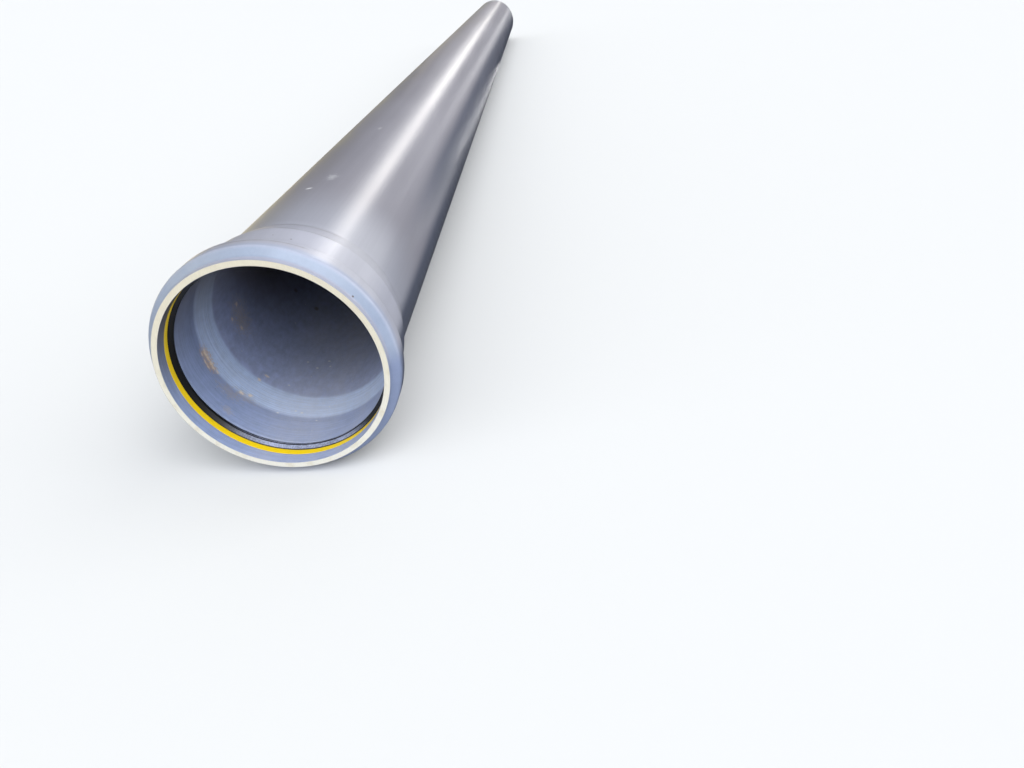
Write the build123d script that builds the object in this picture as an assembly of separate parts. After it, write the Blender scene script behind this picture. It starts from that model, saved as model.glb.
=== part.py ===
from build123d import *
import os
from math import asin, degrees, radians, tan

# Lengths are in millimetres. The pipe lies along +Y: its socket mouth is at the origin and faces -Y.

# Plain barrel of the pipe
outside_diameter = 315.0
wall = 9.2
overall_length = 6000.0
spigot_chamfer_angle = 15.0
spigot_chamfer_length = 21.0

# Socket: a wider bore at the mouth that takes the next pipe's spigot, with a bead that holds the seal
socket_clearance = 0.7
socket_wall = 8.7
entry_land = 22.0
socket_depth = 122.0
inside_taper = 48.0
outside_taper = 46.0
shoulder_offset = 3.0
taper_rounding = 24.0

# Seal groove inside the bead, and the bead round it
groove_depth = 13.0
groove_width = 32.0
groove_wall = 8.3
groove_back_slope = 8.0
groove_rounding = 4.0
land_rounding = 1.0
bead_collar = 9.0
bead_rise = 10.0
bead_fall = 13.0
bead_back_wall = 3.0
bead_crest_rounding = 8.0
bead_foot_rounding = 7.0

# Stiff retaining ring at the front of the groove
front_gap = 0.8
seat_gap = 0.3
ring_recess = 0.6
ring_face = 11.0
ring_leg_length = 7.0
ring_leg_height = 2.6
ring_rounding = 0.7

# Rubber seal behind it, with a lead-in slope, a fine groove and a lip that the spigot spreads
lip_squeeze = 4.0
lip_land = 3.2
lip_back_length = 3.0
lead_in_length = 6.9
lip_groove_width = 0.9
lip_groove_depth = 1.1
lip_rounding = 1.0
rubber_over_ring = 4.0
rubber_rounding = 3.4
heel_height = 2.0

# Radii and places along the axis that follow from the sizes above
barrel_radius = outside_diameter / 2
bore_radius = barrel_radius - wall
socket_radius = barrel_radius + socket_clearance
bell_radius = socket_radius + socket_wall
groove_radius = socket_radius + groove_depth
bead_radius = groove_radius + groove_wall
groove_front = entry_land
groove_back = entry_land + groove_width
crest_front = bead_collar + bead_rise
crest_back = groove_back - groove_back_slope + bead_back_wall
bead_end = crest_back + bead_fall
chamfer_start = overall_length - spigot_chamfer_length
spigot_end_radius = barrel_radius - spigot_chamfer_length * tan(radians(spigot_chamfer_angle))
ring_front = groove_front + front_gap
ring_radius = socket_radius + ring_recess
ring_back = ring_front + ring_face
seal_front = ring_back + seat_gap
seal_outer_radius = groove_radius - seat_gap
ring_outer_radius = seal_outer_radius - rubber_over_ring - seat_gap
leg_end = ring_back + ring_leg_length
leg_inner_radius = ring_outer_radius - ring_leg_height
lip_radius = barrel_radius - lip_squeeze
lip_start = seal_front + lead_in_length
lip_end = lip_start + lip_land

# At rest the bead's crest and the spigot's outer edge both touch the ground, so the axis dips to the spigot.
rest_dip = degrees(asin((bead_radius - barrel_radius) / (chamfer_start - crest_back)))


def turned(corners):
    """Turn a closed outline about the pipe's axis. Each corner is (along the axis, radius, rounding)."""
    points = [(radius, along) for along, radius, rounding in corners]
    roundings = [rounding for along, radius, rounding in corners]
    outline = FilletPolyline(*points, radius=roundings, close=True)
    ring = revolve(make_face(outline), axis=Axis.Y)
    return Rot(X=-rest_dip) * ring


def slope_radius(along):
    """Radius of the seal's lead-in slope at a place along the axis."""
    share = (along - seal_front) / lead_in_length
    return ring_radius + (lip_radius - ring_radius) * share


def groove_back_wall(radius):
    """Place along the axis of the groove's sloping back wall at a radius."""
    share = (radius - socket_radius) / (groove_radius - socket_radius)
    return groove_back - groove_back_slope * share


def make_pipe():
    """One wall from the mouth to the spigot: outside first, then back along the inside."""
    outside = [
        (0.0, bell_radius, 0.0),
        (bead_collar, bell_radius, bead_foot_rounding),
        (crest_front, bead_radius, bead_crest_rounding),
        (crest_back, bead_radius, bead_crest_rounding),
        (bead_end, bell_radius, bead_foot_rounding),
        (socket_depth + shoulder_offset, bell_radius, taper_rounding),
        (socket_depth + shoulder_offset + outside_taper, barrel_radius, taper_rounding),
        (chamfer_start, barrel_radius, 0.0),
        (overall_length, spigot_end_radius, 0.0),
    ]
    inside = [
        (overall_length, bore_radius, 0.0),
        (socket_depth + inside_taper, bore_radius, taper_rounding),
        (socket_depth, socket_radius, taper_rounding),
        (groove_back, socket_radius, land_rounding),
        (groove_back - groove_back_slope, groove_radius, groove_rounding),
        (groove_front, groove_radius, groove_rounding),
        (groove_front, socket_radius, land_rounding),
        (0.0, socket_radius, 0.0),
    ]
    return turned(outside + inside)


def make_retaining_ring():
    """Stiff ring whose broad face shows in the mouth and whose leg runs back into the rubber."""
    return turned([
        (ring_front, ring_radius, ring_rounding),
        (ring_front, ring_outer_radius, ring_rounding),
        (leg_end, ring_outer_radius, ring_rounding),
        (leg_end, leg_inner_radius, ring_rounding),
        (ring_back, leg_inner_radius, 0.0),
        (ring_back, ring_radius, ring_rounding),
    ])


def make_sealing_ring():
    """Rubber ring that fills the groove, wraps the retaining ring and narrows to a lip."""
    heel_radius = socket_radius + heel_height
    groove_start = lip_start - lip_groove_width
    groove_floor = slope_radius(groove_start) + lip_groove_depth
    slope = [
        (seal_front, ring_radius, ring_rounding),
        (groove_start, slope_radius(groove_start), 0.0),
        (groove_start, groove_floor, 0.0),
        (lip_start, groove_floor, 0.0),
        (lip_start, lip_radius, 0.0),
    ]
    lip_and_back = [
        (lip_end, lip_radius, lip_rounding),
        (lip_end + lip_back_length, heel_radius, lip_rounding),
        (groove_back_wall(heel_radius) - seat_gap, heel_radius, 0.0),
        (groove_back_wall(seal_outer_radius) - seat_gap, seal_outer_radius, rubber_rounding),
        (ring_front, seal_outer_radius, rubber_rounding),
    ]
    round_the_ring = [
        (ring_front, ring_outer_radius + seat_gap, 0.0),
        (leg_end + seat_gap, ring_outer_radius + seat_gap, 0.0),
        (leg_end + seat_gap, leg_inner_radius - seat_gap, 0.0),
        (seal_front, leg_inner_radius - seat_gap, 0.0),
    ]
    return turned(slope + lip_and_back + round_the_ring)


pieces = {
    "pipe": make_pipe(),
    "retaining_ring": make_retaining_ring(),
    "sealing_ring": make_sealing_ring(),
}

os.makedirs("parts", exist_ok=True)
for name, piece in pieces.items():
    export_step(piece, f"parts/{name}.step")
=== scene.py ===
from math import acos, asin, ceil, degrees, hypot, pi, radians, tan

import bmesh
import bpy
from mathutils import Matrix, Vector


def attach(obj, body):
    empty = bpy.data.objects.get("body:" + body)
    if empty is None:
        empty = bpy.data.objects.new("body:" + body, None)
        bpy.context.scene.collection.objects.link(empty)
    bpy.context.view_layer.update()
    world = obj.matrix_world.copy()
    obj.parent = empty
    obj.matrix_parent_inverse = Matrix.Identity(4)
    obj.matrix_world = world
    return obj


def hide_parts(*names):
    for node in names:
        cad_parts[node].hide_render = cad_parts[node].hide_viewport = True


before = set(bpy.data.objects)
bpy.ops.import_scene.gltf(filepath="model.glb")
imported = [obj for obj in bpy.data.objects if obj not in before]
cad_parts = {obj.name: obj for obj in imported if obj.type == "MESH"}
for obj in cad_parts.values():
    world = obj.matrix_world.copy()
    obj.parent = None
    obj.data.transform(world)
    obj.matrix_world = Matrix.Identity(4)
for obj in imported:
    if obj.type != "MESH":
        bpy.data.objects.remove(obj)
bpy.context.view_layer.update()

# Camera, at the photograph's place and angle
camera_place = (0.39893, -0.86582, 0.48376)
camera_turn = (59.0166, 3.8975, 1.8143)
focal_length_mm = 25.388
sensor_width_mm = 36.0

# Sizes of the pipe, in metres. It lies along +Y with its socket's mouth at the origin.
# The rings are places along it where the straight walls are divided.
barrel_radius = 0.1575
bore_radius = 0.1483
pipe_length = 6.0
chamfer_start = 5.979
spigot_end_radius = 0.15187
socket_radius = 0.1582
bell_radius = 0.1669
socket_depth = 0.122
socket_rings = (0.112, 0.062)
groove_radius = 0.1712
groove_front = 0.022
groove_floor_end = 0.046
groove_back = 0.054
bead_radius = 0.1795
collar_end = 0.009
crest_front = 0.019
crest_back = 0.049
bead_end = 0.062
bell_rings = (0.072, 0.116)
shoulder = 0.125
barrel_start = 0.171
barrel_rings = (0.180, 0.25, 0.45, 0.9, 1.5, 2.2, 3.0, 3.8, 4.6, 5.3, 5.8, 5.97)
bore_start = 0.170
bore_rings = (5.99, 5.8, 5.3, 4.6, 3.8, 3.0, 2.2, 1.5, 0.9, 0.5, 0.3, 0.2, 0.178)
taper_rounding = 0.024
crest_rounding = 0.008
foot_rounding = 0.007
groove_rounding = 0.004
land_rounding = 0.001

# Sizes of the retaining ring and of the rubber seal behind it
ring_front = 0.0228
ring_back = 0.0338
ring_radius = 0.1588
ring_outer_radius = 0.1666
leg_end = 0.0408
leg_inner_radius = 0.164
ring_rounding = 0.0007
seat_gap = 0.0003
seal_outer_radius = 0.1709
seal_front = ring_back + seat_gap
lip_groove_start = 0.0401
lip_groove_depth = 0.0011
lip_start = 0.041
lip_end = 0.0442
heel_start = 0.0472
lip_radius = 0.1535
heel_radius = 0.1602
lip_rounding = 0.001
rubber_rounding = 0.0034

# The bead and the spigot's edge both lie on the floor, so the axis dips towards the spigot.
rest_dip = asin((bead_radius - barrel_radius) / (chamfer_start - crest_back))
floor_height = -0.1798

# How finely the turned pieces are made
steps_round = 256
rounding_step = radians(8)
smooth_limit = radians(14)
weld_distance = 0.00001
pick_distance = 0.00002


# Camera
def place_camera():
    """The camera that took the photograph."""
    lens = bpy.data.cameras.new("photo_camera")
    lens.lens = focal_length_mm
    lens.sensor_width = sensor_width_mm
    camera = bpy.data.objects.new("photo_camera", lens)
    camera.location = camera_place
    camera.rotation_euler = [radians(angle) for angle in camera_turn]
    bpy.context.scene.collection.objects.link(camera)
    bpy.context.scene.camera = camera


# Turning pieces from a section
def start_ring(name, along, radius):
    """A ring of points round the axis, from which a wall is pulled."""
    bpy.ops.object.select_all(action="DESELECT")
    bpy.ops.mesh.primitive_circle_add(
        vertices=steps_round,
        radius=radius,
        location=(0, along, 0),
        rotation=(pi / 2, 0, 0),
    )
    piece = bpy.context.object
    piece.name = name
    bpy.ops.object.transform_apply(location=True, rotation=True, scale=True)
    bpy.ops.object.mode_set(mode="EDIT")
    bpy.ops.mesh.select_all(action="SELECT")
    return piece


def pull_wall(corners):
    """Pull the ring from corner to corner of the section and back to the first one."""
    following = corners[1:] + corners[:1]
    for (along, radius, _), (next_along, next_radius, _) in zip(corners, following):
        move = {"value": (0, next_along - along, 0)}
        bpy.ops.mesh.extrude_region_move(TRANSFORM_OT_translate=move)
        share = next_radius / radius
        bpy.ops.transform.resize(value=(share, 1, share), center_override=(0, next_along, 0))
    bpy.ops.mesh.select_all(action="SELECT")
    bpy.ops.mesh.remove_doubles(threshold=weld_distance)


def pick_ring(piece, along, radius):
    """Select the edges that run round the axis at one place of the section."""
    bpy.ops.mesh.select_mode(type="EDGE")
    bpy.ops.mesh.select_all(action="DESELECT")
    mesh = bmesh.from_edit_mesh(piece.data)

    def here(point):
        """Does the point lie on the ring?"""
        off = hypot(point.co.x, point.co.z) - radius
        return abs(off) < pick_distance and abs(point.co.y - along) < pick_distance

    for edge in mesh.edges:
        if all(here(point) for point in edge.verts):
            edge.select_set(True)
    bmesh.update_edit_mesh(piece.data)


def turn_between(before, corner, after):
    """How far the section turns at a corner, in radians."""
    first = (corner[0] - before[0], corner[1] - before[1])
    second = (after[0] - corner[0], after[1] - corner[1])
    dot = first[0] * second[0] + first[1] * second[1]
    return acos(max(-1, min(1, dot / hypot(*first) / hypot(*second))))


def round_corners(piece, corners):
    """Bevel each corner that has a rounding."""
    for number, corner in enumerate(corners):
        along, radius, rounding = corner
        if not rounding:
            continue
        after = corners[(number + 1) % len(corners)]
        turn = turn_between(corners[number - 1], corner, after)
        pick_ring(piece, along, radius)
        bpy.ops.mesh.bevel(
            offset=rounding * tan(turn / 2),
            offset_type="OFFSET",
            segments=max(2, ceil(turn / rounding_step)),
            profile=0.5,
            affect="EDGES",
            clamp_overlap=False,
        )


def turned_piece(name, corners):
    """A ring turned about the pipe's axis from a section of corners (along, radius, rounding)."""
    piece = start_ring(name, corners[0][0], corners[0][1])
    pull_wall(corners)
    round_corners(piece, corners)
    bpy.ops.mesh.select_all(action="SELECT")
    bpy.ops.mesh.normals_make_consistent(inside=False)
    bpy.ops.transform.rotate(value=rest_dip, orient_axis="X", center_override=(0, 0, 0))
    bpy.ops.object.mode_set(mode="OBJECT")
    bpy.ops.object.shade_smooth_by_angle(angle=smooth_limit)
    return piece


# The pieces
def straight_wall(rings, radius):
    """Corners where a straight stretch of wall is divided."""
    return [(along, radius, 0) for along in rings]


def pipe_corners():
    """The wall's section: outside from the mouth to the spigot, then back along the inside."""
    bead = [
        (0.0, bell_radius, 0),
        (collar_end, bell_radius, foot_rounding),
        (crest_front, bead_radius, crest_rounding),
        (crest_back, bead_radius, crest_rounding),
        (bead_end, bell_radius, foot_rounding),
    ]
    shoulder_taper = [
        (shoulder, bell_radius, taper_rounding),
        (barrel_start, barrel_radius, taper_rounding),
    ]
    spigot = [
        (chamfer_start, barrel_radius, 0),
        (pipe_length, spigot_end_radius, 0),
        (pipe_length, bore_radius, 0),
    ]
    inner_taper = [
        (bore_start, bore_radius, taper_rounding),
        (socket_depth, socket_radius, taper_rounding),
    ]
    seal_groove = [
        (groove_back, socket_radius, land_rounding),
        (groove_floor_end, groove_radius, groove_rounding),
        (groove_front, groove_radius, groove_rounding),
        (groove_front, socket_radius, land_rounding),
        (0.0, socket_radius, 0),
    ]
    outside = bead + straight_wall(bell_rings, bell_radius) + shoulder_taper
    outside += straight_wall(barrel_rings, barrel_radius) + spigot
    inside = straight_wall(bore_rings, bore_radius) + inner_taper
    inside += straight_wall(socket_rings, socket_radius) + seal_groove
    return outside + inside


def make_pipe():
    """The grey pipe, with its bare cut faces at the mouth and at the chamfered spigot."""
    pipe = turned_piece("pipe_wall", pipe_corners())
    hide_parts("pipe")
    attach(pipe, "root")
    return pipe


def make_retaining_ring():
    """Stiff yellow ring: a broad face towards the bore and a leg that runs back into the rubber."""
    ring = turned_piece("yellow_ring", [
        (ring_front, ring_radius, ring_rounding),
        (ring_front, ring_outer_radius, ring_rounding),
        (leg_end, ring_outer_radius, ring_rounding),
        (leg_end, leg_inner_radius, ring_rounding),
        (ring_back, leg_inner_radius, 0),
        (ring_back, ring_radius, ring_rounding),
    ])
    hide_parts("retaining_ring")
    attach(ring, "root")
    return ring


def slope_radius(along):
    """Radius of the seal's lead-in slope."""
    share = (along - seal_front) / (lip_start - seal_front)
    return ring_radius + (lip_radius - ring_radius) * share


def back_wall(radius):
    """Where the groove's sloping back wall lies at a radius."""
    share = (radius - socket_radius) / (groove_radius - socket_radius)
    return groove_back - (groove_back - groove_floor_end) * share


def make_seal():
    """Rubber ring that fills the groove, wraps the yellow ring's leg and narrows to a lip."""
    groove_floor = slope_radius(lip_groove_start) + lip_groove_depth
    seal = turned_piece("rubber_seal", [
        (seal_front, ring_radius, ring_rounding),
        (lip_groove_start, slope_radius(lip_groove_start), 0),
        (lip_groove_start, groove_floor, 0),
        (lip_start, groove_floor, 0),
        (lip_start, lip_radius, 0),
        (lip_end, lip_radius, lip_rounding),
        (heel_start, heel_radius, lip_rounding),
        (back_wall(heel_radius) - seat_gap, heel_radius, 0),
        (back_wall(seal_outer_radius) - seat_gap, seal_outer_radius, rubber_rounding),
        (ring_front, seal_outer_radius, rubber_rounding),
        (ring_front, ring_outer_radius + seat_gap, 0),
        (leg_end + seat_gap, ring_outer_radius + seat_gap, 0),
        (leg_end + seat_gap, leg_inner_radius - seat_gap, 0),
        (seal_front, leg_inner_radius - seat_gap, 0),
    ])
    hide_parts("sealing_ring")
    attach(seal, "root")
    return seal


# Small helpers for node trees
def feed(tree, socket, value):
    """Link a socket to another one, or set its plain value."""
    if isinstance(value, bpy.types.NodeSocket):
        tree.links.new(value, socket)
    else:
        socket.default_value = value


def calc(tree, operation, *values):
    """The result of one Math node."""
    node = tree.nodes.new("ShaderNodeMath")
    node.operation = operation
    for socket, value in zip(node.inputs, values):
        feed(tree, socket, value)
    return node.outputs[0]


def vector_calc(tree, operation, *values):
    """The result of one Vector Math node: a length is a plain value, all else a vector."""
    node = tree.nodes.new("ShaderNodeVectorMath")
    node.operation = operation
    for socket, value in zip(node.inputs, values):
        feed(tree, socket, value)
    return node.outputs["Value" if operation == "LENGTH" else "Vector"]


def product(tree, first, *others):
    """Several values multiplied in turn."""
    for value in others:
        first = calc(tree, "MULTIPLY", first, value)
    return first


def inverse(tree, value):
    """1 minus a value."""
    return calc(tree, "SUBTRACT", 1.0, value)


def remap(tree, value, low, high, to_low=0.0, to_high=1.0):
    """A smooth step of a value from low to high."""
    node = tree.nodes.new("ShaderNodeMapRange")
    node.interpolation_type = "SMOOTHSTEP"
    for name, amount in (("Value", value), ("From Min", low), ("From Max", high)):
        feed(tree, node.inputs[name], amount)
    feed(tree, node.inputs["To Min"], to_low)
    feed(tree, node.inputs["To Max"], to_high)
    return node.outputs["Result"]


def between(tree, value, low, high):
    """1 where a value lies between two limits, else 0."""
    above = calc(tree, "GREATER_THAN", value, low)
    return product(tree, above, calc(tree, "LESS_THAN", value, high))


def blend(tree, amount, first, second, kind="MIX"):
    """The first colour, with the given amount of the second mixed in."""
    node = tree.nodes.new("ShaderNodeMix")
    node.data_type = "RGBA"
    node.blend_type = kind
    feed(tree, node.inputs["Factor"], amount)
    feed(tree, node.inputs[6], first)
    feed(tree, node.inputs[7], second)
    return node.outputs[2]


def shaded(tree, colour, shade):
    """A colour made darker by a shade under 1, or paler by one over 1."""
    return blend(tree, 1.0, colour, shade, "MULTIPLY")


def stretched(tree, place, scale, turn=(0, 0, 0)):
    """A place scaled along each axis, after a turn given in degrees."""
    node = tree.nodes.new("ShaderNodeMapping")
    feed(tree, node.inputs["Vector"], place)
    node.inputs["Rotation"].default_value = [radians(angle) for angle in turn]
    feed(tree, node.inputs["Scale"], scale)
    return node.outputs["Vector"]


def noise(tree, place, scale, detail, roughness=0.5):
    """Soft noise from 0 to 1."""
    node = tree.nodes.new("ShaderNodeTexNoise")
    feed(tree, node.inputs["Vector"], place)
    feed(tree, node.inputs["Scale"], scale)
    node.inputs["Detail"].default_value = detail
    feed(tree, node.inputs["Roughness"], roughness)
    return node.outputs["Fac"]


def new_group(name, inputs, outputs):
    """An empty node group, what it is given and what it results in, both by name."""
    group = bpy.data.node_groups.new(name, "ShaderNodeTree")
    for socket, kind, value in inputs:
        made = group.interface.new_socket(socket, in_out="INPUT", socket_type=kind)
        made.default_value = value
    for socket, kind in outputs:
        group.interface.new_socket(socket, in_out="OUTPUT", socket_type=kind)
    given = group.nodes.new("NodeGroupInput").outputs
    result = group.nodes.new("NodeGroupOutput").inputs
    return group, given, result


def use_group(tree, name, **values):
    """Place a node group in a tree. Socket names are given with _ for a space."""
    node = tree.nodes.new("ShaderNodeGroup")
    node.node_tree = bpy.data.node_groups[name]
    for socket, value in values.items():
        feed(tree, node.inputs[socket.replace("_", " ")], value)
    return node


FLOAT = "NodeSocketFloat"
VECTOR = "NodeSocketVector"


# Effects that several finishes share
def build_pipe_place():
    """How far a place lies along the pipe and from its axis, and how far up or sideways it faces."""
    outputs = [("Along", FLOAT), ("Radius", FLOAT), ("Up", FLOAT), ("Side", FLOAT)]
    group, given, result = new_group("pipe_place", [("Place", VECTOR, (0, 0, 0))], outputs)
    split = group.nodes.new("ShaderNodeSeparateXYZ")
    feed(group, split.inputs[0], given["Place"])
    across = product(group, split.outputs["X"], split.outputs["X"])
    square = calc(group, "MULTIPLY_ADD", split.outputs["Z"], split.outputs["Z"], across)
    radius = calc(group, "SQRT", square)
    feed(group, result["Along"], split.outputs["Y"])
    feed(group, result["Radius"], radius)
    feed(group, result["Up"], calc(group, "DIVIDE", split.outputs["Z"], radius))
    feed(group, result["Side"], calc(group, "DIVIDE", split.outputs["X"], radius))


def build_drawn_grain():
    """Fine lines along the pipe, as the die leaves them."""
    inputs = [("Place", VECTOR, (0, 0, 0)), ("Fineness", FLOAT, 60.0)]
    group, given, result = new_group("drawn_grain", inputs, [("Lines", FLOAT)])
    long_place = stretched(group, given["Place"], (1, 0.004, 1))
    coarse = noise(group, long_place, given["Fineness"], 3.0, 0.55)
    finer = product(group, given["Fineness"], 5.0)
    fine = noise(group, long_place, finer, 2.0, 0.6)
    both = calc(group, "MULTIPLY_ADD", fine, 0.4, product(group, coarse, 0.6))
    feed(group, result["Lines"], remap(group, both, 0.3, 0.7))


def build_turned_lines():
    """Fine uneven lines that run round the axis, as turning or moulding leaves them."""
    inputs = [("Place", VECTOR, (0, 0, 0)), ("Fineness", FLOAT, 1500.0), ("Roughness", FLOAT, 0.5)]
    group, given, result = new_group("turned_lines", inputs, [("Lines", FLOAT)])
    round_place = stretched(group, given["Place"], (0.02, 1, 0.02))
    lines = noise(group, round_place, given["Fineness"], 2.0, given["Roughness"])
    feed(group, result["Lines"], lines)


def build_specks():
    """Small scattered specks. Share is how many of the spots carry one."""
    inputs = [
        ("Place", VECTOR, (0, 0, 0)),
        ("Spots per metre", FLOAT, 60.0),
        ("Size", FLOAT, 0.2),
        ("Share", FLOAT, 0.2),
    ]
    group, given, result = new_group("specks", inputs, [("Mask", FLOAT)])
    spots = group.nodes.new("ShaderNodeTexVoronoi")
    feed(group, spots.inputs["Vector"], given["Place"])
    feed(group, spots.inputs["Scale"], given["Spots per metre"])
    spots.inputs["Randomness"].default_value = 1.0
    split = group.nodes.new("ShaderNodeSeparateColor")
    feed(group, split.inputs[0], spots.outputs["Color"])
    size = product(group, given["Size"], calc(group, "ADD", split.outputs[1], 0.4))
    ragged = calc(group, "SUBTRACT", noise(group, given["Place"], 900.0, 1.0), 0.5)
    torn = product(group, ragged, size)
    edge = calc(group, "MULTIPLY_ADD", torn, 1.5, spots.outputs["Distance"])
    inner = product(group, size, 0.5)
    spot = inverse(group, remap(group, edge, inner, size))
    chosen = calc(group, "LESS_THAN", split.outputs[0], given["Share"])
    feed(group, result["Mask"], product(group, spot, chosen))


def build_smear():
    """One smear round a centre. Reach is its half size along each axis, Ragged how torn its edge is."""
    inputs = [
        ("Place", VECTOR, (0, 0, 0)),
        ("Centre", VECTOR, (0, 0, 0)),
        ("Reach", VECTOR, (0.01, 0.01, 0.01)),
        ("Grain per metre", FLOAT, 200.0),
        ("Ragged", FLOAT, 1.0),
    ]
    group, given, result = new_group("smear", inputs, [("Mask", FLOAT)])
    offset = vector_calc(group, "SUBTRACT", given["Place"], given["Centre"])
    away = vector_calc(group, "LENGTH", vector_calc(group, "DIVIDE", offset, given["Reach"]))
    strokes = stretched(group, given["Place"], (0.6, 1.5, 0.6))
    torn = noise(group, strokes, given["Grain per metre"], 4.0, 0.7)
    torn = calc(group, "SUBTRACT", torn, 0.5)
    edge = calc(group, "MULTIPLY_ADD", torn, given["Ragged"], away)
    feed(group, result["Mask"], inverse(group, remap(group, edge, 0.25, 1.0)))


def build_dark_seam_line():
    """A thin broken dark line round the pipe at one place along it, fading out on its right side."""
    inputs = [
        ("Place", VECTOR, (0, 0, 0)),
        ("Along", FLOAT, 0.0),
        ("Side", FLOAT, 0.0),
        ("Centre", FLOAT, 0.1),
        ("Half width", FLOAT, 0.001),
    ]
    group, given, result = new_group("dark_seam_line", inputs, [("Mask", FLOAT)])
    away = calc(group, "SUBTRACT", given["Along"], given["Centre"])
    away = calc(group, "ABSOLUTE", away)
    line = inverse(group, remap(group, away, 0.0, given["Half width"]))
    broken = remap(group, noise(group, given["Place"], 30.0, 3.0), 0.30, 0.60)
    line = product(group, line, remap(group, given["Side"], 0.45, 0.65, 1.0, 0.0))
    feed(group, result["Mask"], product(group, line, broken))


def build_dust():
    """A thin uneven film of dust where the surface faces the given way. Facing runs from -1 to 1."""
    inputs = [
        ("Place", VECTOR, (0, 0, 0)),
        ("Facing", FLOAT, 0.0),
        ("Start", FLOAT, 0.0),
        ("Full", FLOAT, 1.0),
    ]
    group, given, result = new_group("dust", inputs, [("Mask", FLOAT)])
    cover = remap(group, given["Facing"], given["Start"], given["Full"])
    long_place = stretched(group, given["Place"], (1, 0.3, 1))
    clouds = remap(group, noise(group, long_place, 14.0, 5.0, 0.65), 0.25, 0.75)
    fine = remap(group, noise(group, given["Place"], 420.0, 2.0), 0.3, 0.7)
    broken = calc(group, "MULTIPLY_ADD", fine, 0.35, product(group, clouds, 0.65))
    feed(group, result["Mask"], product(group, cover, broken))


def build_effects():
    """Build each shared effect once."""
    build_pipe_place()
    build_drawn_grain()
    build_turned_lines()
    build_specks()
    build_smear()
    build_dark_seam_line()
    build_dust()


# Finishes
plastic_ior = 1.5

# Depth of the relief on each finish, in metres
die_line_depth = 0.000006
turned_line_depth = 0.00003
saw_line_depth = 0.00008
moulded_line_depth = 0.00006


def new_finish(name):
    """A material, its tree and shader, the spot on the levelled pipe, and that spot's pipe_place."""
    material = bpy.data.materials.new(name)
    material.use_nodes = True
    tree = material.node_tree
    shader = tree.nodes["Principled BSDF"]
    shader.inputs["Metallic"].default_value = 0.0
    shader.inputs["IOR"].default_value = plastic_ior
    coordinates = tree.nodes.new("ShaderNodeTexCoord")
    spot = stretched(tree, coordinates.outputs["Object"], (1, 1, 1), (degrees(rest_dip), 0, 0))
    return material, tree, shader, spot, use_group(tree, "pipe_place", Place=spot).outputs


def add_bump(tree, shader, height, depth):
    """Relief from a height between 0 and 1, of the given depth in metres."""
    bump = tree.nodes.new("ShaderNodeBump")
    bump.inputs["Strength"].default_value = 1.0
    bump.inputs["Distance"].default_value = depth
    feed(tree, bump.inputs["Height"], height)
    feed(tree, shader.inputs["Normal"], bump.outputs["Normal"])


# Colours of the outside. All colours are linear.
# The plastic's grey on top. The sides and underside get painted shade instead.
top_grey = (0.290, 0.282, 0.318, 1)
# Painted light: the shoulder's paler grey.
shoulder_grey = (0.345, 0.350, 0.400, 1)
# Painted shade: the slate of the sides and underside, and near the mouth a painted blue reflection of the
# sky.
painted_shade_slate = (0.105, 0.118, 0.165, 1)
side_blue = (0.215, 0.260, 0.400, 1)
# Painted light and the sky's painted reflection: the bell's paler grey and the bead's blues.
bell_grey = (0.440, 0.445, 0.510, 1)
slope_blue = (0.290, 0.340, 0.440, 1)
crest_blue = (0.400, 0.430, 0.530, 1)
# Painted highlight on the right of the bell and the shoulder.
highlight_grey = (0.560, 0.560, 0.600, 1)
# Painted light on the bead's collar.
collar_lavender = (0.365, 0.375, 0.455, 1)
# A warm film on the left flank, partly dust and partly a painted reflection of the ground.
dust_and_reflection_brown = (0.270, 0.240, 0.182, 1)
dust_and_reflection_sand = (0.440, 0.392, 0.268, 1)
seam_dark = (0.170, 0.150, 0.130, 1)
scuff_white = (0.70, 0.70, 0.71, 1)
speck_brown = (0.080, 0.050, 0.030, 1)

# Bands of colour, from the barrel to the mouth: each is full up to its first place, gone by its second.
# They are painted light: the paler shoulder and bell, and the sky's painted reflection in blue and
# lavender on the bead's crest, slope and collar.
outside_bands = [
    (0.18, 0.40, shoulder_grey),
    (0.140, 0.195, bell_grey),
    (0.024, 0.034, crest_blue),
    (0.0155, 0.0205, slope_blue),
    (0.007, 0.011, collar_lavender),
]

# Thin dark lines on the bead's crest and at the shoulder: place along the pipe and half width
seam_lines = [(0.0390, 0.0026), (0.1262, 0.0020), (0.1640, 0.0030)]

# Marks on the outside that the photograph shows: place and half size in metres
white_nicks = [
    ((-0.0144, 0.3661, 0.1555), (0.0085, 0.0060, 0.0085)),
    ((0.1620, 0.2282, 0.0392), (0.0030, 0.0030, 0.0030)),
    ((0.1633, 0.2146, 0.0335), (0.0024, 0.0024, 0.0024)),
    ((0.1707, 0.1975, 0.0205), (0.0024, 0.0024, 0.0024)),
]
faint_nicks = [
    ((0.0092, 0.4337, 0.1556), (0.0110, 0.0220, 0.0060)),
    ((0.0169, 0.8521, 0.1565), (0.0045, 0.0160, 0.0060)),
]
dark_nicks = [
    ((0.1324, 0.0105, 0.1037), (0.0022, 0.0022, 0.0022)),
    ((0.0115, 0.0947, 0.1662), (0.0014, 0.0014, 0.0014)),
    ((0.0394, 0.0852, 0.1619), (0.0017, 0.0017, 0.0017)),
    ((0.0235, 2.0705, 0.1481), (0.0060, 0.0260, 0.0060)),
    ((0.0295, 2.6630, 0.1448), (0.0070, 0.0340, 0.0070)),
    ((0.0214, 3.1923, 0.1442), (0.0070, 0.0400, 0.0070)),
]


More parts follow.
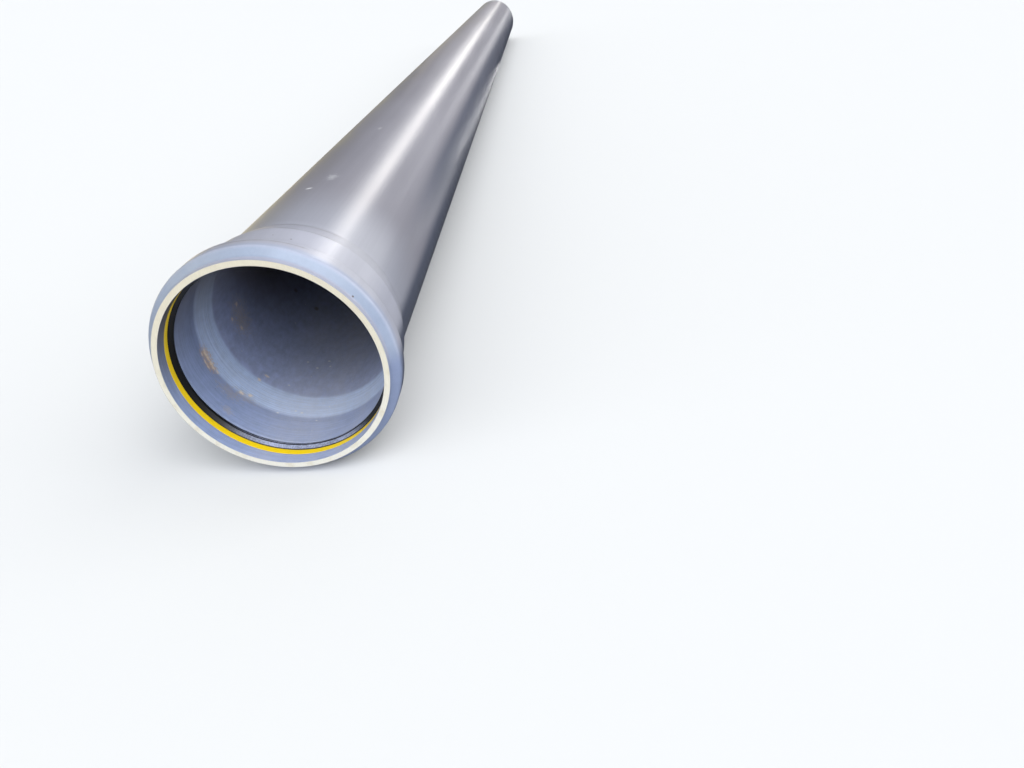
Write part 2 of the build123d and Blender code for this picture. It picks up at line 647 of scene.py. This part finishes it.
def add_marks(tree, colour, spot, marks, tint, grain, ragged, cover=1.0):
    """Paint a list of placed marks over a colour. Grain and ragged say how torn their edges are."""
    for centre, reach in marks:
        mark = use_group(
            tree, "smear", Place=spot, Centre=centre, Reach=reach,
            Grain_per_metre=grain, Ragged=ragged,
        )
        colour = blend(tree, product(tree, mark.outputs["Mask"], cover), colour, tint)
    return colour


def add_specks(tree, colour, spot, tint, per_metre, size, share, cover=1.0):
    """Scatter small specks over a colour."""
    specks = use_group(tree, "specks", Place=spot, Spots_per_metre=per_metre, Size=size, Share=share)
    return blend(tree, product(tree, specks.outputs["Mask"], cover), colour, tint)


def lit_share(tree, place):
    """How much of the lit top's grey a place gets; the rest is the sides' painted shade. Full on top and
    on the left, partly round the bell, none below.
    """
    sides = remap(tree, place["Along"], 0.30, 0.90, 0.85, 0.18)
    partly = product(tree, sides, remap(tree, place["Up"], -0.05, 0.15))
    rest = inverse(tree, partly)
    sunny = calc(tree, "ADD", place["Up"], remap(tree, place["Side"], -0.6, 0.0, 0.7, 0.0))
    return calc(tree, "MULTIPLY_ADD", rest, remap(tree, sunny, 0.38, 0.56), partly)


def outside_grey(tree, place):
    """The outside's grey, with painted light and shade: the plastic's grey on top, painted shade in slate
    below, paler painted light on the shoulder, the bell and the right, a painted highlight on the bell's
    right, and the sky's painted reflection in blue on the bead.
    """
    along = place["Along"]
    top = top_grey
    for start, end, nearer in outside_bands:
        top = blend(tree, remap(tree, along, start, end), nearer, top)
    # Painted light: the top is paler on its right side and darker on its left.
    top = shaded(tree, top, remap(tree, place["Side"], -0.3, 0.5, 0.90, 1.03))
    # A painted highlight on the right of the bell and the shoulder.
    painted_highlight = product(
        tree,
        remap(tree, place["Side"], 0.45, 0.68),
        remap(tree, place["Side"], 0.80, 0.95, 1.0, 0.0),
        remap(tree, along, 0.20, 0.38, 1.0, 0.0),
        remap(tree, along, 0.022, 0.032),
        0.5,
    )
    top = blend(tree, painted_highlight, top, highlight_grey)
    # The sides and underside: painted shade in slate, with a painted blue reflection of the sky near the
    # mouth.
    side = blend(tree, remap(tree, along, 0.020, 0.045), side_blue, painted_shade_slate)
    return blend(tree, lit_share(tree, place), side, top)


def left_dust_and_reflection(tree, spot, place, left):
    """How thickly the warm film lies on the left flank, partly dust and partly a painted reflection:
    thinner near the mouth and where it faces straight left.
    """
    dust = use_group(tree, "dust", Place=spot, Facing=left, Start=-0.10, Full=0.60).outputs["Mask"]
    from_mouth = remap(tree, place["Along"], 0.06, 0.18, 0.3, 1.0)
    return product(tree, dust, from_mouth, remap(tree, left, 0.45, 0.80, 1.0, 0.4))


def add_seam_lines(tree, colour, spot, place):
    """Paint the thin dark lines at the bead and at the shoulder."""
    for centre, half_width in seam_lines:
        line = use_group(
            tree, "dark_seam_line", Place=spot, Along=place["Along"], Side=place["Side"],
            Centre=centre, Half_width=half_width,
        )
        colour = blend(tree, product(tree, line.outputs["Mask"], 0.55), colour, seam_dark)
    return colour


def make_outside_finish():
    """Satin grey plastic with painted light and shade in its colour, fine die lines, nicks, brown specks,
    and a warm film on the left flank that is partly dust and partly a painted reflection.
    """
    material, tree, shader, spot, place = new_finish("grey_outside")
    colour = outside_grey(tree, place)
    grain = use_group(tree, "drawn_grain", Place=spot, Fineness=55.0).outputs["Lines"]
    clouds = noise(tree, stretched(tree, spot, (1, 0.2, 1)), 7.0, 3.0)
    shade = calc(tree, "MULTIPLY_ADD", grain, 0.25, clouds)
    colour = shaded(tree, colour, remap(tree, shade, 0.35, 0.9, 0.94, 1.05))
    left = product(tree, place["Side"], -1.0)
    dust = left_dust_and_reflection(tree, spot, place, left)
    # The warm film is partly dust and partly a painted reflection of the ground on the left flank.
    film = blend(tree, remap(tree, left, 0.15, 0.50), dust_and_reflection_brown, dust_and_reflection_sand)
    colour = blend(tree, dust, colour, film)
    colour = add_seam_lines(tree, colour, spot, place)
    colour = add_specks(tree, colour, spot, speck_brown, per_metre=30.0, size=0.035, share=0.08)
    colour = add_marks(tree, colour, spot, white_nicks, scuff_white, grain=500.0, ragged=0.6)
    colour = add_marks(tree, colour, spot, faint_nicks, scuff_white, cover=0.38, grain=260.0, ragged=3.8)
    colour = add_marks(tree, colour, spot, dark_nicks, speck_brown, grain=300.0, ragged=1.2)
    feed(tree, shader.inputs["Base Color"], colour)
    gloss = remap(tree, clouds, 0.3, 0.7, 0.28, 0.34)
    gloss = calc(tree, "MULTIPLY_ADD", dust, 0.16, gloss)
    feed(tree, shader.inputs["Roughness"], gloss)
    add_bump(tree, shader, grain, die_line_depth)
    return material


# Colours of the inside. The blues of the socket wall, taper and bore hold painted sky light, the taper's
# paler blue more of it, and the brown of the roof is painted shade.
socket_wall_blue = (0.305, 0.378, 0.595, 1)
taper_blue = (0.500, 0.610, 0.840, 1)
bore_slate = (0.345, 0.398, 0.590, 1)
far_bore_grey = (0.350, 0.380, 0.480, 1)
pale_blue = (0.700, 0.770, 0.930, 1)
# Painted shade on the inside's roof.
roof_shade_brown = (0.085, 0.065, 0.040, 1)
inside_dust = (0.60, 0.59, 0.62, 1)
mud_tan = (0.600, 0.425, 0.290, 1)
mud_pale = (0.830, 0.700, 0.550, 1)
haze_tan = (0.450, 0.410, 0.400, 1)

# Smears and strokes of dried mud on the inside that the photograph shows
mud_smears = [
    ((-0.1550, 0.1215, -0.0310), (0.020, 0.014, 0.018)),
    ((-0.1500, 0.1195, -0.0480), (0.018, 0.013, 0.018)),
]
mud_strokes = [
    ((-0.1562, 0.1148, -0.0258), (0.0040, 0.0030, 0.0050)),
    ((-0.1553, 0.1235, -0.0284), (0.0050, 0.0036, 0.0090)),
    ((-0.1541, 0.1236, -0.0370), (0.0050, 0.0036, 0.0080)),
    ((-0.1538, 0.1130, -0.0377), (0.0050, 0.0030, 0.0080)),
    ((-0.1513, 0.1123, -0.0463), (0.0050, 0.0030, 0.0070)),
    ((-0.1508, 0.1235, -0.0477), (0.0060, 0.0040, 0.0080)),
    ((-0.1487, 0.1214, -0.0547), (0.0060, 0.0040, 0.0060)),
    ((-0.1448, 0.1229, -0.0633), (0.0060, 0.0030, 0.0050)),
    ((-0.1172, 0.1254, -0.1053), (0.0060, 0.0040, 0.0060)),
    ((-0.1065, 0.1316, -0.1145), (0.0060, 0.0046, 0.0060)),
    ((-0.1025, 0.1703, -0.1074), (0.0050, 0.0040, 0.0050)),
    ((-0.0971, 0.1895, -0.1124), (0.0060, 0.0040, 0.0050)),
    ((-0.1421, 0.2414, -0.0430), (0.0060, 0.0060, 0.0060)),
    ((-0.1483, 0.2593, -0.0061), (0.0060, 0.0060, 0.0050)),
    ((-0.1472, 0.2272, -0.0192), (0.0050, 0.0050, 0.0050)),
]
faint_smears = [
    ((-0.1193, 0.0711, -0.1039), (0.012, 0.010, 0.011)),
    ((-0.1280, 0.1090, -0.0930), (0.028, 0.015, 0.028)),
    ((-0.1100, 0.1210, -0.1110), (0.024, 0.012, 0.022)),
    ((-0.1436, 0.2515, -0.0379), (0.016, 0.034, 0.030)),
    ((-0.1463, 0.2600, -0.0205), (0.016, 0.034, 0.034)),
]
white_chips = [
    ((-0.0562, 0.2803, -0.1374), (0.0028, 0.0034, 0.0028)),
    ((-0.0364, 0.2676, -0.1439), (0.0036, 0.0036, 0.0036)),
    ((-0.0221, 0.2973, -0.1467), (0.0036, 0.0036, 0.0036)),
    ((-0.0158, 0.2786, -0.1475), (0.0028, 0.0034, 0.0028)),
    ((-0.0642, 0.1921, -0.1339), (0.0026, 0.0030, 0.0026)),
    ((-0.0390, 0.1345, -0.1509), (0.0026, 0.0022, 0.0026)),
    ((-0.0285, 0.1323, -0.1535), (0.0034, 0.0026, 0.0034)),
    ((0.0002, 0.1144, -0.1584), (0.0028, 0.0022, 0.0028)),
    ((-0.0642, 0.1214, -0.1447), (0.0030, 0.0022, 0.0030)),
]
dark_dots = [
    ((-0.0889, 0.4760, -0.1189), (0.0070, 0.0110, 0.0070)),
    ((-0.1255, 0.4825, -0.0793), (0.0060, 0.0100, 0.0060)),
]

# Pale lines turned into the taper: place along the pipe and half width
turned_rings = [(0.1405, 0.0014), (0.1478, 0.0020), (0.1560, 0.0012)]


def inside_blue(tree, along, in_bore):
    """The inside's colour, with painted sky light in it: blue in the socket, paler in the taper,
    slate-blue in the bore, greyer farther in.
    """
    socket = blend(tree, remap(tree, along, 0.116, 0.130), socket_wall_blue, taper_blue)
    bore = blend(tree, remap(tree, along, 2.0, 4.0), bore_slate, far_bore_grey)
    return blend(tree, in_bore, socket, bore)


def shade_inside(tree, colour, spot, along, in_bore, lines):
    """Darken and lighten the colour by its lines, by a soft haze, and paint light where the bore begins.
    """
    colour = shaded(tree, colour, remap(tree, lines, 0.25, 0.75, 0.88, 1.12))
    haze = noise(tree, spot, 60.0, 5.0, 0.7)
    colour = shaded(tree, colour, remap(tree, haze, 0.3, 0.7, 0.93, 1.07))
    # Painted light: the bore is paler where it begins.
    painted_light_near_taper = remap(tree, along, 0.18, 0.32, 1.20, 1.0)
    return blend(tree, in_bore, colour, shaded(tree, colour, painted_light_near_taper))


def add_turned_rings(tree, colour, along):
    """Paint the pale lines that are turned into the taper."""
    for centre, half_width in turned_rings:
        away = calc(tree, "ABSOLUTE", calc(tree, "SUBTRACT", along, centre))
        colour = blend(tree, remap(tree, away, 0.0, half_width, 0.30, 0.0), colour, pale_blue)
    return colour


def roof_shade(tree, place):
    """How strongly a painted brown shade covers the roof. It reaches lower right at the mouth and the
    deeper inside it is, then fades.
    """
    deeper = remap(tree, place["Along"], 0.16, 0.48, 0.0, 0.8)
    at_mouth = remap(tree, place["Along"], 0.018, 0.026, 0.24, 0.0)
    film = calc(tree, "ADD", calc(tree, "ADD", place["Up"], deeper), at_mouth)
    far_inside = remap(tree, place["Along"], 1.2, 2.5, 1.0, 0.0)
    return product(tree, remap(tree, film, -0.25, 0.95), far_inside)


def make_inside_finish():
    """Inner wall with painted sky light in its blue, paler in the taper, and painted shade on the roof,
    with turned lines, dust along the bottom and dried mud.
    """
    material, tree, shader, spot, place = new_finish("grey_inside")
    in_bore = remap(tree, place["Along"], 0.164, 0.178)
    turned = use_group(tree, "turned_lines", Place=spot, Fineness=500.0, Roughness=0.6).outputs["Lines"]
    mottle = noise(tree, stretched(tree, spot, (1, 0.35, 1)), 110.0, 5.0, 0.7)
    lines = product(tree, turned, inverse(tree, in_bore))
    lines = calc(tree, "MULTIPLY_ADD", mottle, in_bore, lines)
    colour = inside_blue(tree, place["Along"], in_bore)
    colour = shade_inside(tree, colour, spot, place["Along"], in_bore, lines)
    colour = add_turned_rings(tree, colour, place["Along"])
    # Painted shade: the roof darkened to brown.
    colour = blend(tree, roof_shade(tree, place), colour, roof_shade_brown)
    down = product(tree, place["Up"], -0.94)
    settled = calc(tree, "MULTIPLY_ADD", place["Side"], 0.34, down)
    dust = use_group(tree, "dust", Place=spot, Facing=settled, Start=0.35, Full=0.95).outputs["Mask"]
    colour = blend(tree, product(tree, dust, 0.52), colour, inside_dust)
    low = remap(tree, down, 0.0, 0.5)
    colour = add_specks(tree, colour, spot, scuff_white, per_metre=75.0, size=0.085, share=0.26, cover=low)
    colour = add_specks(tree, colour, spot, speck_brown, per_metre=50.0, size=0.06, share=0.14, cover=0.7)
    colour = add_marks(tree, colour, spot, white_chips, scuff_white, grain=700.0, ragged=0.8)
    colour = add_marks(tree, colour, spot, dark_dots, speck_brown, cover=0.6, grain=300.0, ragged=0.8)
    colour = add_marks(tree, colour, spot, mud_smears, mud_tan, cover=0.75, grain=300.0, ragged=3.6)
    colour = add_marks(tree, colour, spot, faint_smears, haze_tan, cover=0.5, grain=300.0, ragged=4.6)
    colour = add_marks(tree, colour, spot, mud_strokes, mud_pale, cover=0.8, grain=360.0, ragged=2.6)
    feed(tree, shader.inputs["Base Color"], colour)
    feed(tree, shader.inputs["Roughness"], calc(tree, "MULTIPLY_ADD", dust, 0.2, 0.34))
    add_bump(tree, shader, lines, turned_line_depth)
    return material


# The grey skin at each edge of the cut, how far it wanders, and how softly it ends, in metres
outer_skin = 0.0004
inner_skin = 0.0007
skin_wander = 0.0004
skin_softness = 0.0003

# Colours of the cut faces
cut_cream = (0.585, 0.540, 0.425, 1)
cut_white = (0.640, 0.625, 0.560, 1)
cut_shade = (0.540, 0.495, 0.390, 1)
skin_grey = (0.330, 0.330, 0.360, 1)


def make_cut_finish():
    """Bare cream core where the wall is cut, painted whiter towards the bottom as painted light, with saw
    lines, blotches, and a thin grey skin at each edge.
    """
    material, tree, shader, spot, place = new_finish("cut_core")
    saw = noise(tree, stretched(tree, spot, (1, 1, 0.08), (0, 20, 0)), 900.0, 3.0, 0.6)
    blotches = noise(tree, spot, 60.0, 3.0)
    # Painted light: the cut faces are whiter towards the bottom.
    colour = blend(tree, remap(tree, place["Up"], -0.9, 0.7), cut_white, cut_cream)
    colour = blend(tree, remap(tree, blotches, 0.45, 0.85), colour, cut_shade)
    colour = shaded(tree, colour, remap(tree, saw, 0.2, 0.8, 0.93, 1.05))
    wander = product(tree, noise(tree, spot, 150.0, 2.0), skin_wander)
    radius = calc(tree, "ADD", place["Radius"], wander)
    outer_edge = bell_radius - outer_skin
    inner_edge = socket_radius + inner_skin
    outer = remap(tree, radius, outer_edge, outer_edge + skin_softness)
    inner = inverse(tree, remap(tree, radius, inner_edge - skin_softness, inner_edge))
    at_mouth = calc(tree, "LESS_THAN", place["Along"], socket_depth)
    skin = product(tree, calc(tree, "MAXIMUM", outer, inner), at_mouth)
    colour = blend(tree, product(tree, skin, 0.8), colour, skin_grey)
    feed(tree, shader.inputs["Base Color"], colour)
    feed(tree, shader.inputs["Roughness"], remap(tree, saw, 0.2, 0.8, 0.50, 0.66))
    add_bump(tree, shader, saw, saw_line_depth)
    return material


# Colours of the retaining ring
ring_yellow = (1.000, 0.700, 0.010, 1)
ring_worn = (0.850, 0.565, 0.030, 1)


def make_ring_finish():
    """Glossy yellow moulded plastic with faint turned lines and a little dirt."""
    material, tree, shader, spot, _ = new_finish("yellow_moulded")
    blotches = remap(tree, noise(tree, spot, 45.0, 4.0, 0.6), 0.45, 0.75)
    colour = blend(tree, product(tree, blotches, 0.35), ring_yellow, ring_worn)
    colour = add_specks(tree, colour, spot, speck_brown, per_metre=120.0, size=0.10, share=0.12)
    lines = use_group(tree, "turned_lines", Place=spot, Fineness=1500.0, Roughness=0.5).outputs["Lines"]
    feed(tree, shader.inputs["Base Color"], colour)
    feed(tree, shader.inputs["Roughness"], remap(tree, blotches, 0.0, 1.0, 0.32, 0.48))
    add_bump(tree, shader, lines, turned_line_depth)
    return material


# The stretches where dust and a painted sheen lie on the rubber: where each starts and ends along the pipe
dust_and_sheen_slope = (0.0351, 0.0399)
dust_and_sheen_lip = (0.0413, 0.0426)

# Colours of the rubber
rubber_black = (0.007, 0.007, 0.008, 1)
# Dust and a painted sheen of the sky on the rubber's bottom.
rubber_dust_and_sheen = (0.430, 0.480, 0.690, 1)


def make_rubber_finish():
    """Black rubber, with dust and a painted sheen along the bottom, and moulding lines round it."""
    material, tree, shader, spot, place = new_finish("black_moulded_rubber")
    down = product(tree, place["Up"], -1.0)
    dust = use_group(tree, "dust", Place=spot, Facing=down, Start=0.66, Full=0.98).outputs["Mask"]
    on_slope = between(tree, place["Along"], *dust_and_sheen_slope)
    on_lip = between(tree, place["Along"], *dust_and_sheen_lip)
    dust = product(tree, dust, calc(tree, "ADD", on_slope, on_lip))
    # Dust and a painted sheen along the bottom.
    colour = blend(tree, dust, rubber_black, rubber_dust_and_sheen)
    colour = add_specks(tree, colour, spot, inside_dust, per_metre=110.0, size=0.10, share=0.14)
    lines = use_group(tree, "turned_lines", Place=spot, Fineness=1300.0, Roughness=0.5).outputs["Lines"]
    feed(tree, shader.inputs["Base Color"], colour)
    feed(tree, shader.inputs["Roughness"], calc(tree, "MULTIPLY_ADD", dust, 0.25, 0.38))
    add_bump(tree, shader, lines, moulded_line_depth)
    return material


# Which finish goes where
def paint_faces(piece, slot_number, test):
    """Give a material slot to the faces that pass a test of where they lie and how they face outwards."""
    piece.active_material_index = slot_number
    bpy.context.view_layer.objects.active = piece
    bpy.ops.object.mode_set(mode="EDIT")
    bpy.ops.mesh.select_mode(type="FACE")
    bpy.ops.mesh.select_all(action="DESELECT")
    mesh = bmesh.from_edit_mesh(piece.data)
    level = Matrix.Rotation(rest_dip, 4, "X")
    for face in mesh.faces:
        middle = level @ face.calc_center_median()
        radius = hypot(middle.x, middle.z)
        outward = (face.normal.x * middle.x + face.normal.z * middle.z) / radius
        if test(middle.y, radius, outward):
            face.select_set(True)
    bmesh.update_edit_mesh(piece.data)
    bpy.ops.object.material_slot_assign()
    bpy.ops.object.mode_set(mode="OBJECT")


# Slots of the pipe's finishes. The outside has the first one, 0.
inside_slot = 1
cut_slot = 2

# Limits that tell the faces apart. A face of the inside looks outwards less than the first. The others,
# in metres, say how near the mouth's plane the rim lies, and how far past the chamfer's start and off the
# bore a face of the cut spigot lies.
inward_limit = 0.1
rim_reach = 0.00005
chamfer_margin = 0.001
bore_margin = 0.0005


def is_inside(along, radius, outward):
    """Does the face look towards the axis, or along it?"""
    return outward < inward_limit


def is_cut(along, radius, outward):
    """Is the face on the mouth's rim, or on the spigot's end or chamfer?"""
    at_rim = along < rim_reach
    past_chamfer = along > chamfer_start + chamfer_margin
    return at_rim or past_chamfer and radius > bore_radius + bore_margin


# Floor, lamps and background
floor_width = 800
floor_pale = (0.74, 0.74, 0.73, 1)
background_white = (1, 1, 1, 1)
room_light = (0.88, 0.92, 1.00, 1)
room_strength = 0.42
mirrored_strength = 0.04


def make_floor():
    """A wide pale floor that the pipe lies on. It is matt, and isn't mirrored in the pipe."""
    bpy.ops.object.select_all(action="DESELECT")
    bpy.ops.mesh.primitive_plane_add(size=floor_width, location=(0, 0, floor_height))
    floor = bpy.context.object
    floor.name = "pale_floor"
    bpy.ops.object.transform_apply(location=True, rotation=True, scale=True)
    floor.visible_glossy = False
    material = bpy.data.materials.new("pale_floor")
    material.use_nodes = True
    shader = material.node_tree.nodes["Principled BSDF"]
    shader.inputs["Base Color"].default_value = floor_pale
    shader.inputs["Roughness"].default_value = 1.0
    shader.inputs["Specular IOR Level"].default_value = 0.0
    floor.data.materials.append(material)


def make_room_light():
    """Even light from all round, dimmer where it is mirrored, and a white background."""
    world = bpy.data.worlds.new("studio_room")
    bpy.context.scene.world = world
    world.use_nodes = True
    tree = world.node_tree
    tree.nodes.clear()
    path = tree.nodes.new("ShaderNodeLightPath")
    mirrored = path.outputs["Is Glossy Ray"]
    strength = calc(tree, "MULTIPLY_ADD", mirrored, mirrored_strength - room_strength, room_strength)
    lit = tree.nodes.new("ShaderNodeBackground")
    lit.inputs["Color"].default_value = room_light
    feed(tree, lit.inputs["Strength"], strength)
    seen = tree.nodes.new("ShaderNodeBackground")
    seen.inputs["Color"].default_value = background_white
    mix = tree.nodes.new("ShaderNodeMixShader")
    feed(tree, mix.inputs[0], path.outputs["Is Camera Ray"])
    feed(tree, mix.inputs[1], lit.outputs[0])
    feed(tree, mix.inputs[2], seen.outputs[0])
    out = tree.nodes.new("ShaderNodeOutputWorld")
    feed(tree, out.inputs["Surface"], mix.outputs[0])


def soft_sun(name, towards, width, strength, colour=(1, 1, 1)):
    """An even lamp far away in the given direction. Its width is the angle it fills, in degrees."""
    lamp = bpy.data.lights.new(name, "SUN")
    lamp.angle = radians(width)
    lamp.energy = strength
    lamp.color = colour
    sun = bpy.data.objects.new(name, lamp)
    sun.rotation_euler = Vector(towards).to_track_quat("Z", "Y").to_euler()
    bpy.context.scene.collection.objects.link(sun)


def streak_box(name, place, turn, width, length, power, colour=(1, 1, 1)):
    """A flat lamp that is only seen mirrored in the pipe.

    It lies along X by its width and along Y by its length, before its turn in degrees. Power is in watts.
    """
    lamp = bpy.data.lights.new(name, "AREA")
    lamp.shape = "RECTANGLE"
    lamp.size = width
    lamp.size_y = length
    lamp.energy = power
    lamp.color = colour
    box = bpy.data.objects.new(name, lamp)
    box.location = place
    box.rotation_euler = [radians(angle) for angle in turn]
    box.visible_camera = False
    box.visible_diffuse = False
    bpy.context.scene.collection.objects.link(box)


def make_lamps():
    """Three soft lamps, and long narrow ones whose reflections are the streaks and glows on the pipe."""
    soft_sun("front_lamp", (0.25, -0.60, 0.72), 55, 2.2, (0.96, 0.98, 1.0))
    soft_sun("low_left_lamp", (-0.55, -0.85, 0.30), 80, 1.8, (0.92, 0.96, 1.0))
    soft_sun("right_lamp", (0.70, 0.05, 0.68), 60, 1.1)
    streak_box("streak_box", (0.435, 5.0, 1.15), (0, 12, 0.95), 0.20, 7.0, 22, (1.0, 0.945, 0.87))
    streak_box("far_streak_box", (0.192, 16.5, 1.15), (0, 0, 1.12), 0.16, 16.0, 20, (1.0, 0.97, 0.93))
    streak_box("streak_glow", (0.39, 4.8, 1.15), (0, 12, 0.95), 0.55, 6.8, 20, (0.97, 0.99, 1.0))
    streak_box("right_streak_box", (1.2, 9.5, 0.55), (0, 90, 0), 0.10, 11.0, 11)
    streak_box("low_right_strip", (0.39, 2.1, -0.172), (0, 150, 2.6), 0.05, 1.6, 0.47)
    streak_box("middle_right_strip", (0.345, 2.45, -0.168), (0, 150, 3.9), 0.03, 0.6, 0.15)
    streak_box("far_right_strip", (0.265, 3.5, -0.168), (0, 150, 5.0), 0.03, 1.5, 0.66)
    streak_box("low_left_strip", (-1.05, 3.6, -0.165), (180, 0, 0), 1.6, 5.0, 14, (1.0, 0.80, 0.40))
    streak_box("near_left_strip", (-1.10, 2.0, -0.165), (180, 0, 0), 1.4, 2.4, 16, (1.0, 0.84, 0.52))
    streak_box("right_low_glow", (1.25, 17.0, 0.02), (0, 90, 0), 0.36, 12.0, 16)
    streak_box("far_glow", (-1.5, 26.0, 2.4), (-90, 0, 0), 3.0, 2.8, 18, (1.0, 0.94, 0.86))
    streak_box("far_right_glow", (2.15, 28.0, 1.0), (-90, 0, 0), 3.7, 2.4, 13)
    streak_box("left_glow", (-2.2, 17.5, 0.50), (0, -90, 0), 1.3, 9.0, 44, (1.0, 0.87, 0.70))


# The scene
place_camera()
build_effects()
pipe_wall = make_pipe()
yellow_ring = make_retaining_ring()
rubber_seal = make_seal()

for finish in (make_outside_finish(), make_inside_finish(), make_cut_finish()):
    pipe_wall.data.materials.append(finish)
paint_faces(pipe_wall, inside_slot, is_inside)
paint_faces(pipe_wall, cut_slot, is_cut)
yellow_ring.data.materials.append(make_ring_finish())
rubber_seal.data.materials.append(make_rubber_finish())

make_floor()
make_room_light()
make_lamps()

bpy.context.scene.view_settings.view_transform = "Standard"
